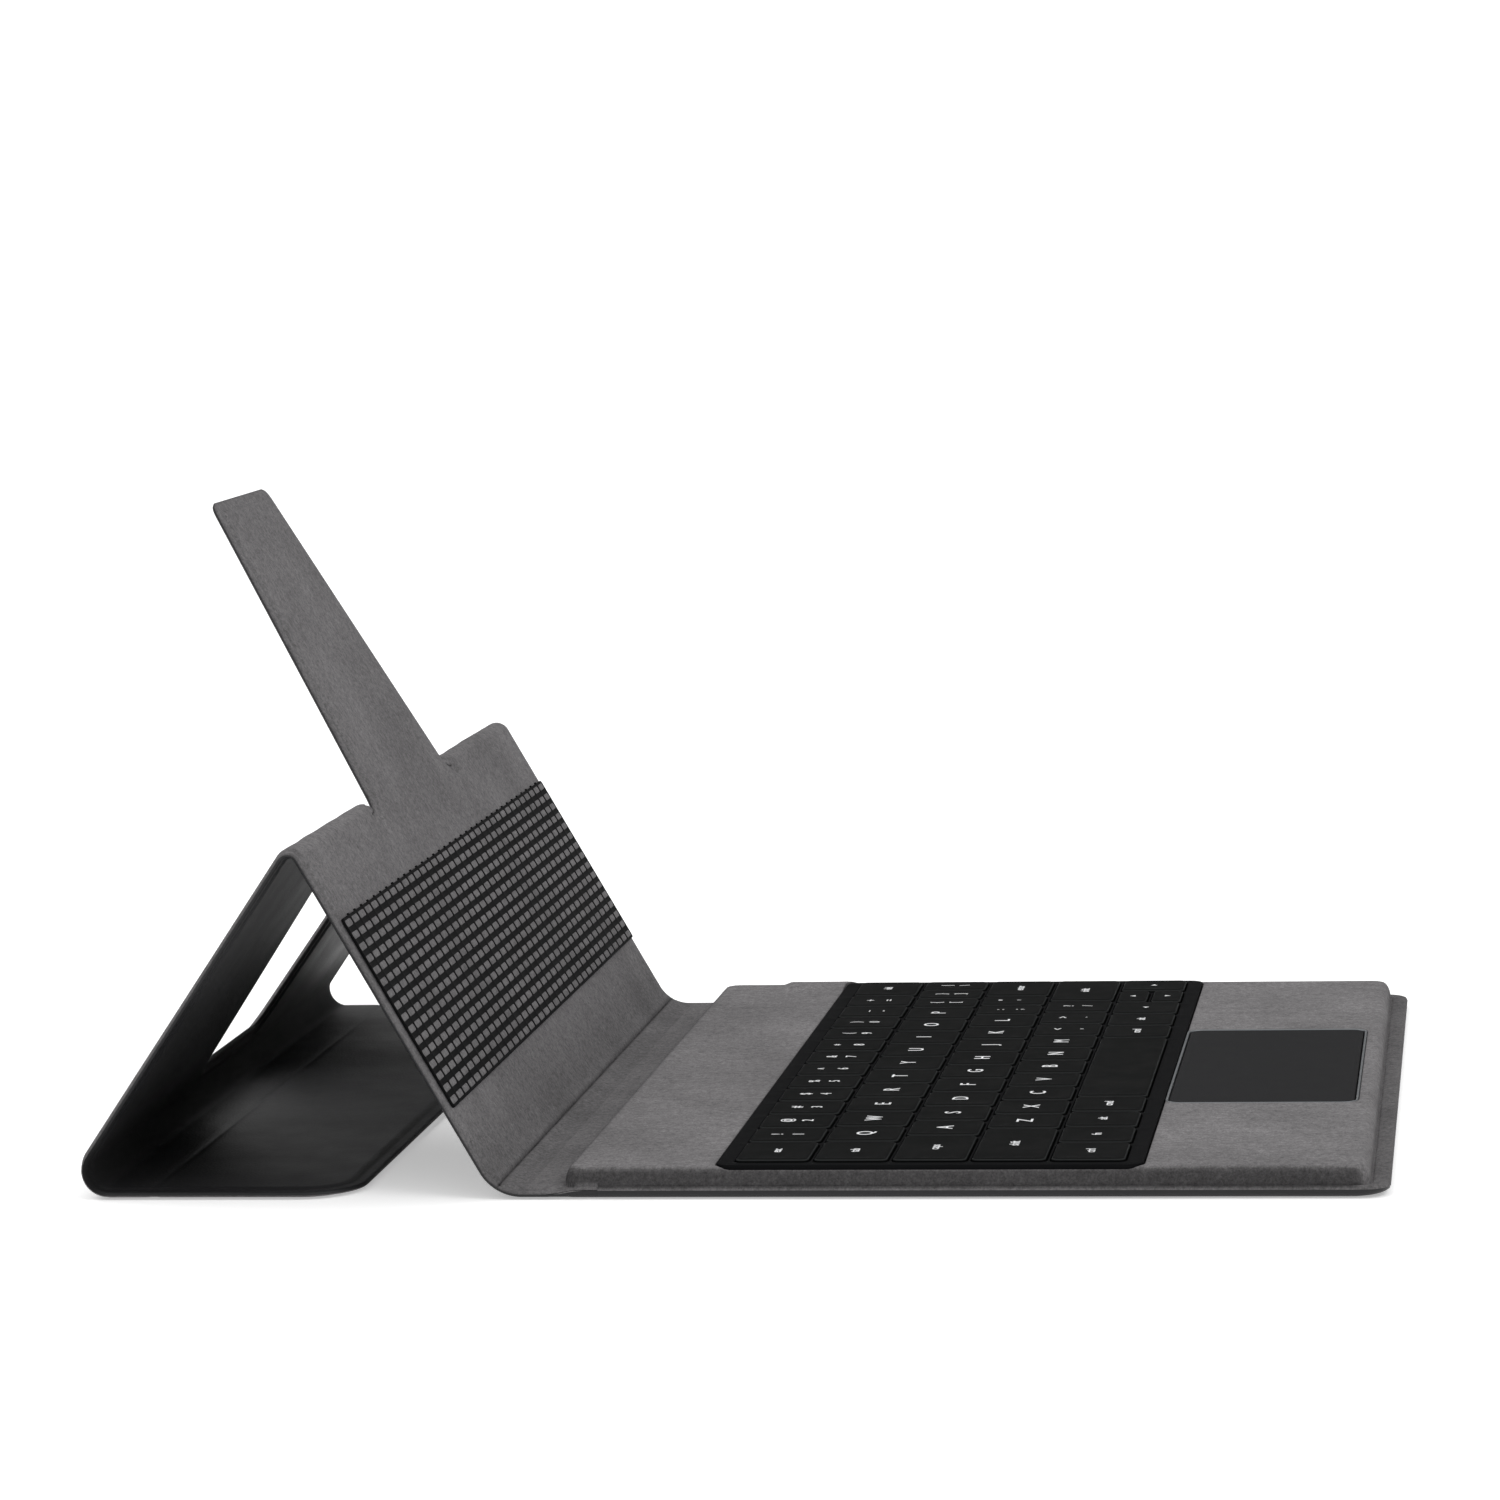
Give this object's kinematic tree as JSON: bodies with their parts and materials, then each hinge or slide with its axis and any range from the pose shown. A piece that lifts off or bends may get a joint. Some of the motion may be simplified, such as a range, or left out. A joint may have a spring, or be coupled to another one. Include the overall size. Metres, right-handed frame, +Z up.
{
  "type": "tablet keyboard case",
  "caption": "Folding tablet case: a slim keyboard base with touchpad, joined by soft folds to a propped panel with a grip pad and an upright tongue, and a magnetic closing flap.",
  "frame": {"origin": "centre of the footprint of the propped-up case, on the table", "axes": "+X to the user's right, +Y away from the user towards the back fold, +Z up"},
  "size_m": [0.264, 0.3034, 0.1545],
  "materials": {
    "lining": "short-nap microfibre, dark warm grey",
    "outer_skin": "fine-grained synthetic leather, near black",
    "stiff_board": "pressed fibre board",
    "black_plastic": "fine satin black",
    "key_cap": "smooth satin black with pale printed legends",
    "steel": "bare",
    "magnet": "nickel plated",
    "circuit_board": "green solder mask",
    "membrane": "clear polyester",
    "silicone": "milky silicone",
    "battery_wrap": "heat-shrunk foil pouch",
    "touchpad": "very fine satin",
    "touchpad_trim": "satin grey edge",
    "ribbon": "amber polyimide",
    "grip": "tacky black silicone grid"
  },
  "bodies": {
    "base": {"base_cover": "outer_skin", "base_lining": "lining", "base_board": "stiff_board", "module_tray": "black_plastic", "keyboard_bezel": "black_plastic", "bezel_screws": "steel", "key_backplate": "steel", "key_membrane": "membrane", "dome_sheet": "silicone", "scissor_frames": "black_plastic", "main_board": "circuit_board", "battery": "battery_wrap", "charge_port": "steel", "switch_body": "steel", "touchpad_trim": "touchpad_trim", "click_switch": "steel", "touchpad_ribbon": "ribbon", "base_magnets": "magnet"},
    "spine": {"spine_cover": "outer_skin", "spine_lining": "lining"},
    "support": {"support_cover": "outer_skin", "support_board": "stiff_board", "support_lining": "lining", "grip_pad": "grip"},
    "rear": {"rear_cover": "outer_skin", "rear_board": "stiff_board", "rear_lining": "lining"},
    "closure": {"closure_cover": "outer_skin", "closure_lining": "lining"},
    "flap": {"flap_cover": "outer_skin", "flap_board": "stiff_board", "flap_magnets": "magnet", "flap_lining": "lining"},
    "touchpad": {"touchpad_surface": "touchpad", "touchpad_board": "circuit_board"},
    "slider": {"power_slider": "black_plastic"},
    "number_keys": {"number_keys": "key_cap"},
    "upper_letter_keys": {"upper_letter_keys": "key_cap"},
    "home_letter_keys": {"home_letter_keys": "key_cap"},
    "lower_letter_keys": {"lower_letter_keys": "key_cap"},
    "key_escape": {"key_escape": "key_cap"},
    "key_delete": {"key_delete": "key_cap"},
    "key_tab": {"key_tab": "key_cap"},
    "key_backslash": {"key_backslash": "key_cap"},
    "key_caps": {"key_caps": "key_cap"},
    "key_enter": {"key_enter": "key_cap"},
    "key_shift_left": {"key_shift_left": "key_cap"},
    "key_shift_right": {"key_shift_right": "key_cap"},
    "key_control": {"key_control": "key_cap"},
    "key_function": {"key_function": "key_cap"},
    "key_option_left": {"key_option_left": "key_cap"},
    "key_command_left": {"key_command_left": "key_cap"},
    "key_space": {"key_space": "key_cap"},
    "key_command_right": {"key_command_right": "key_cap"},
    "key_option_right": {"key_option_right": "key_cap"},
    "key_arrow_left": {"key_arrow_left": "key_cap"},
    "key_arrow_up": {"key_arrow_up": "key_cap"},
    "key_arrow_down": {"key_arrow_down": "key_cap"},
    "key_arrow_right": {"key_arrow_right": "key_cap"}
  },
  "joints": [
    {"name": "base_fold", "type": "hinge", "parent": "base", "child": "spine", "pos_m": [0, 0.03786, 0.0012], "axis": [1, 0, 0], "range_deg": [-90, 90]},
    {"name": "crease_fold", "type": "hinge", "parent": "spine", "child": "support", "pos_m": [0, 0.05216, 0.0012], "axis": [1, 0, 0], "range_deg": [-60.8, 29.2]},
    {"name": "top_fold", "type": "hinge", "parent": "support", "child": "rear", "pos_m": [0, 0.09753, 0.08238], "axis": [1, 0, 0], "range_deg": [-12, 115.89]},
    {"name": "bottom_fold", "type": "hinge", "parent": "rear", "child": "closure", "pos_m": [0, 0.15419, 0.0012], "axis": [1, 0, 0], "range_deg": [-20, 214.91]},
    {"name": "flap_fold", "type": "hinge", "parent": "closure", "child": "flap", "pos_m": [0, 0.13319, 0.0012], "axis": [1, 0, 0], "range_deg": [-30, 94]},
    {"name": "touchpad_click", "type": "hinge", "parent": "base", "child": "touchpad", "pos_m": [0, -0.09784, 0.0061], "axis": [1, 0, 0], "range_deg": [0, 0.7], "stiffness_Nm_per_rad": 2.2},
    {"name": "power_slide", "type": "slide", "parent": "base", "child": "slider", "axis": [0, 1, 0], "range_m": [0, 0.002]},
    {"name": "number_keys_press", "type": "slide", "parent": "base", "child": "number_keys", "axis": [0, 0, -1], "range_m": [0, 0.0012], "stiffness_N_per_m": 5400},
    {"name": "upper_letter_keys_press", "type": "slide", "parent": "base", "child": "upper_letter_keys", "axis": [0, 0, -1], "range_m": [0, 0.0012], "stiffness_N_per_m": 5400},
    {"name": "home_letter_keys_press", "type": "slide", "parent": "base", "child": "home_letter_keys", "axis": [0, 0, -1], "range_m": [0, 0.0012], "stiffness_N_per_m": 4950},
    {"name": "lower_letter_keys_press", "type": "slide", "parent": "base", "child": "lower_letter_keys", "axis": [0, 0, -1], "range_m": [0, 0.0012], "stiffness_N_per_m": 4500},
    {"name": "key_escape_press", "type": "slide", "parent": "base", "child": "key_escape", "axis": [0, 0, -1], "range_m": [0, 0.0012], "stiffness_N_per_m": 450},
    {"name": "key_delete_press", "type": "slide", "parent": "base", "child": "key_delete", "axis": [0, 0, -1], "range_m": [0, 0.0012], "stiffness_N_per_m": 450},
    {"name": "key_tab_press", "type": "slide", "parent": "base", "child": "key_tab", "axis": [0, 0, -1], "range_m": [0, 0.0012], "stiffness_N_per_m": 450},
    {"name": "key_backslash_press", "type": "slide", "parent": "base", "child": "key_backslash", "axis": [0, 0, -1], "range_m": [0, 0.0012], "stiffness_N_per_m": 450},
    {"name": "key_caps_press", "type": "slide", "parent": "base", "child": "key_caps", "axis": [0, 0, -1], "range_m": [0, 0.0012], "stiffness_N_per_m": 450},
    {"name": "key_enter_press", "type": "slide", "parent": "base", "child": "key_enter", "axis": [0, 0, -1], "range_m": [0, 0.0012], "stiffness_N_per_m": 450},
    {"name": "key_shift_left_press", "type": "slide", "parent": "base", "child": "key_shift_left", "axis": [0, 0, -1], "range_m": [0, 0.0012], "stiffness_N_per_m": 450},
    {"name": "key_shift_right_press", "type": "slide", "parent": "base", "child": "key_shift_right", "axis": [0, 0, -1], "range_m": [0, 0.0012], "stiffness_N_per_m": 450},
    {"name": "key_control_press", "type": "slide", "parent": "base", "child": "key_control", "axis": [0, 0, -1], "range_m": [0, 0.0012], "stiffness_N_per_m": 450},
    {"name": "key_function_press", "type": "slide", "parent": "base", "child": "key_function", "axis": [0, 0, -1], "range_m": [0, 0.0012], "stiffness_N_per_m": 450},
    {"name": "key_option_left_press", "type": "slide", "parent": "base", "child": "key_option_left", "axis": [0, 0, -1], "range_m": [0, 0.0012], "stiffness_N_per_m": 450},
    {"name": "key_command_left_press", "type": "slide", "parent": "base", "child": "key_command_left", "axis": [0, 0, -1], "range_m": [0, 0.0012], "stiffness_N_per_m": 450},
    {"name": "key_space_press", "type": "slide", "parent": "base", "child": "key_space", "axis": [0, 0, -1], "range_m": [0, 0.0012], "stiffness_N_per_m": 450},
    {"name": "key_command_right_press", "type": "slide", "parent": "base", "child": "key_command_right", "axis": [0, 0, -1], "range_m": [0, 0.0012], "stiffness_N_per_m": 450},
    {"name": "key_option_right_press", "type": "slide", "parent": "base", "child": "key_option_right", "axis": [0, 0, -1], "range_m": [0, 0.0012], "stiffness_N_per_m": 450},
    {"name": "key_arrow_left_press", "type": "slide", "parent": "base", "child": "key_arrow_left", "axis": [0, 0, -1], "range_m": [0, 0.0012], "stiffness_N_per_m": 450},
    {"name": "key_arrow_up_press", "type": "slide", "parent": "base", "child": "key_arrow_up", "axis": [0, 0, -1], "range_m": [0, 0.0012], "stiffness_N_per_m": 450},
    {"name": "key_arrow_down_press", "type": "slide", "parent": "base", "child": "key_arrow_down", "axis": [0, 0, -1], "range_m": [0, 0.0012], "stiffness_N_per_m": 450},
    {"name": "key_arrow_right_press", "type": "slide", "parent": "base", "child": "key_arrow_right", "axis": [0, 0, -1], "range_m": [0, 0.0012], "stiffness_N_per_m": 450}
  ]
}
